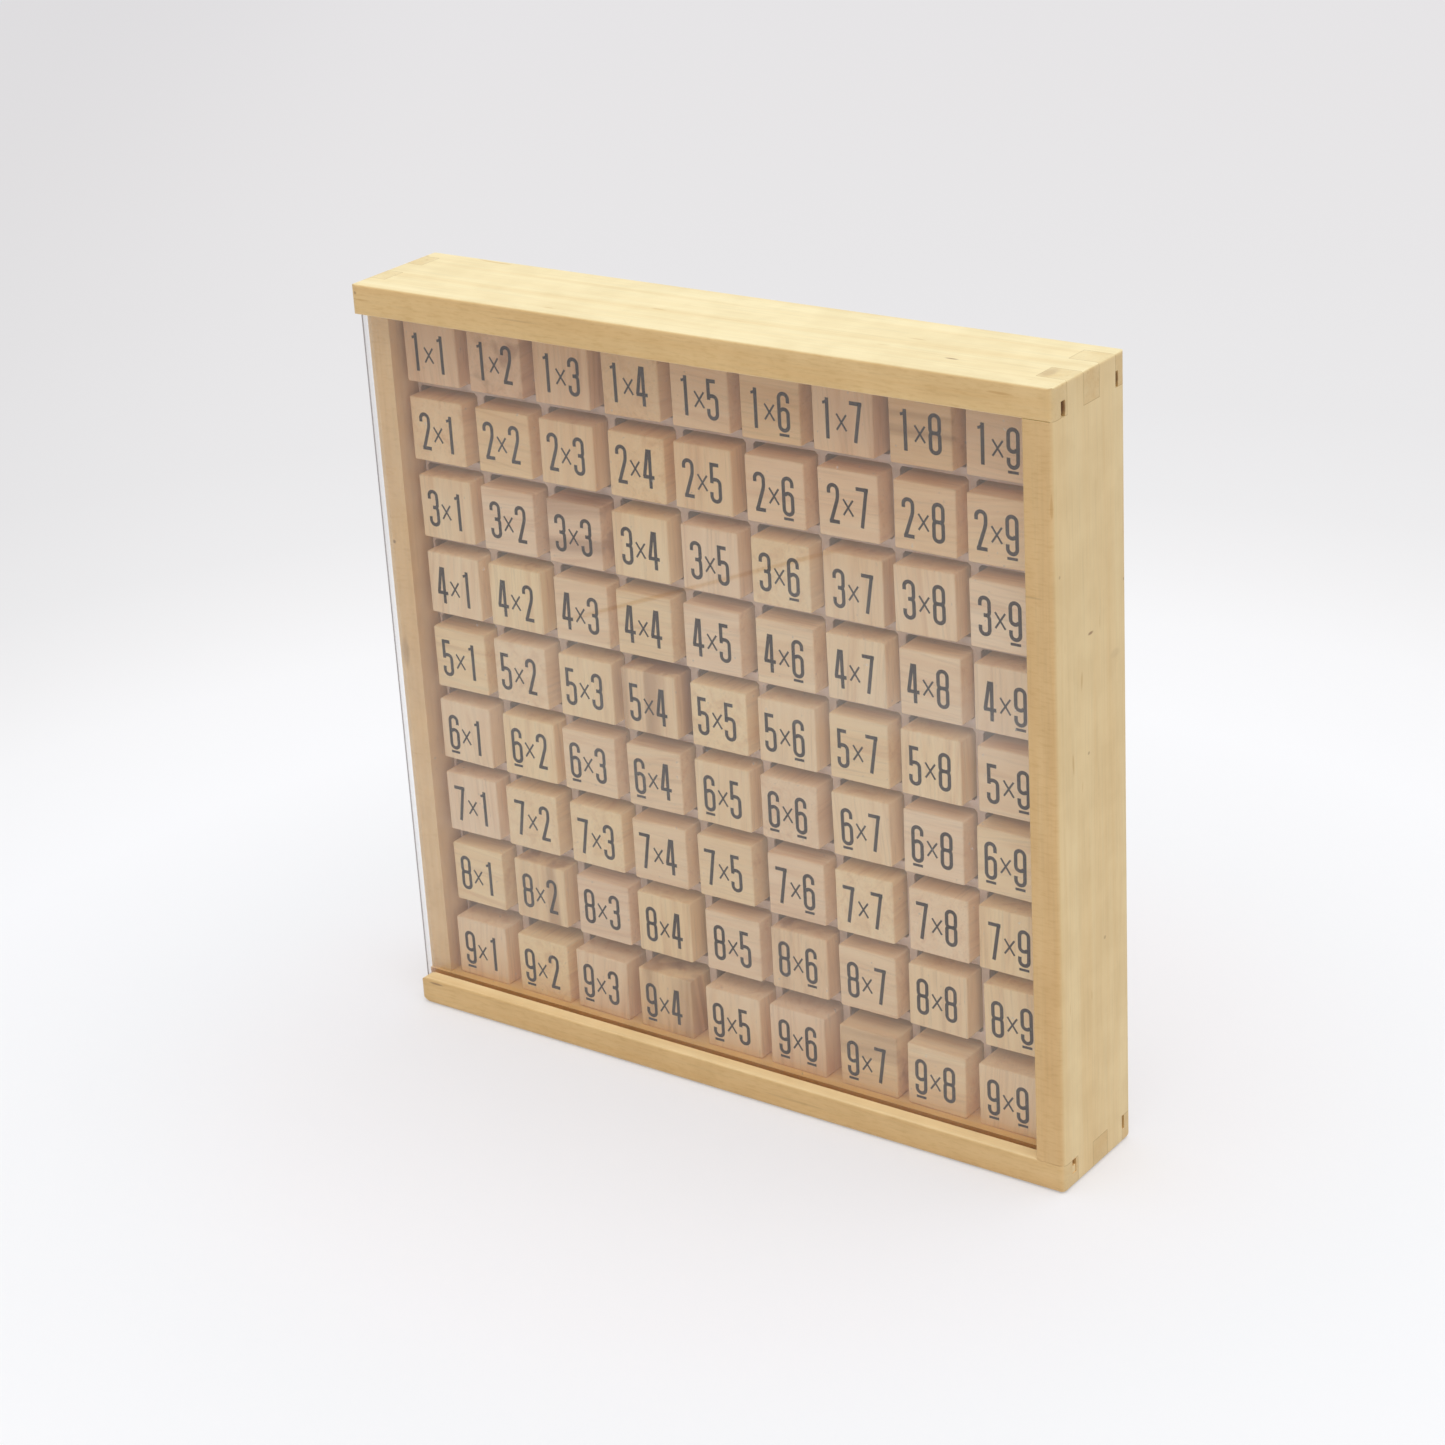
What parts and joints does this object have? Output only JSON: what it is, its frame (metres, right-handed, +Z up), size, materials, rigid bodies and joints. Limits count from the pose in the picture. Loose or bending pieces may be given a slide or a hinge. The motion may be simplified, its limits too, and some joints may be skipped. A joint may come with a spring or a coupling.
{
  "type": "multiplication cube box",
  "caption": "Shallow wooden box standing on its edge, with a clear lid that slides out sideways over a clear tray of small wooden cubes, one for each product.",
  "frame": {"origin": "middle of the foot: the centre of the rectangle that the box stands on", "axes": "+X to the right seen from the front, towards the closed side; +Y from the clear front to the back panel; +Z up"},
  "size_m": [0.18, 0.029, 0.18],
  "materials": {
    "box_wood": "sanded, bare",
    "back_wood": "thin plywood, bare",
    "cube_wood": "sanded, bare",
    "clear_lid": "clear sheet, slightly hazy",
    "clear_tray": "clear formed sheet",
    "print_ink": "dark grey print on the cubes' faces"
  },
  "bodies": {
    "box": {"top_board": "box_wood", "bottom_board": "box_wood", "right_board": "box_wood", "left_board": "box_wood", "back_panel": "back_wood", "cell_tray": "clear_tray", "cubes_row_1": "cube_wood", "cubes_row_2": "cube_wood", "cubes_row_3": "cube_wood", "cubes_row_4": "cube_wood", "cubes_row_5": "cube_wood", "cubes_row_6": "cube_wood", "cubes_row_7": "cube_wood", "cubes_row_8": "cube_wood", "cubes_row_9": "cube_wood"},
    "lid": {"sliding_lid": "clear_lid"}
  },
  "joints": [
    {"name": "lid_slide", "type": "slide", "parent": "box", "child": "lid", "axis": [-1, 0, 0], "range_m": [0, 0.165]}
  ]
}
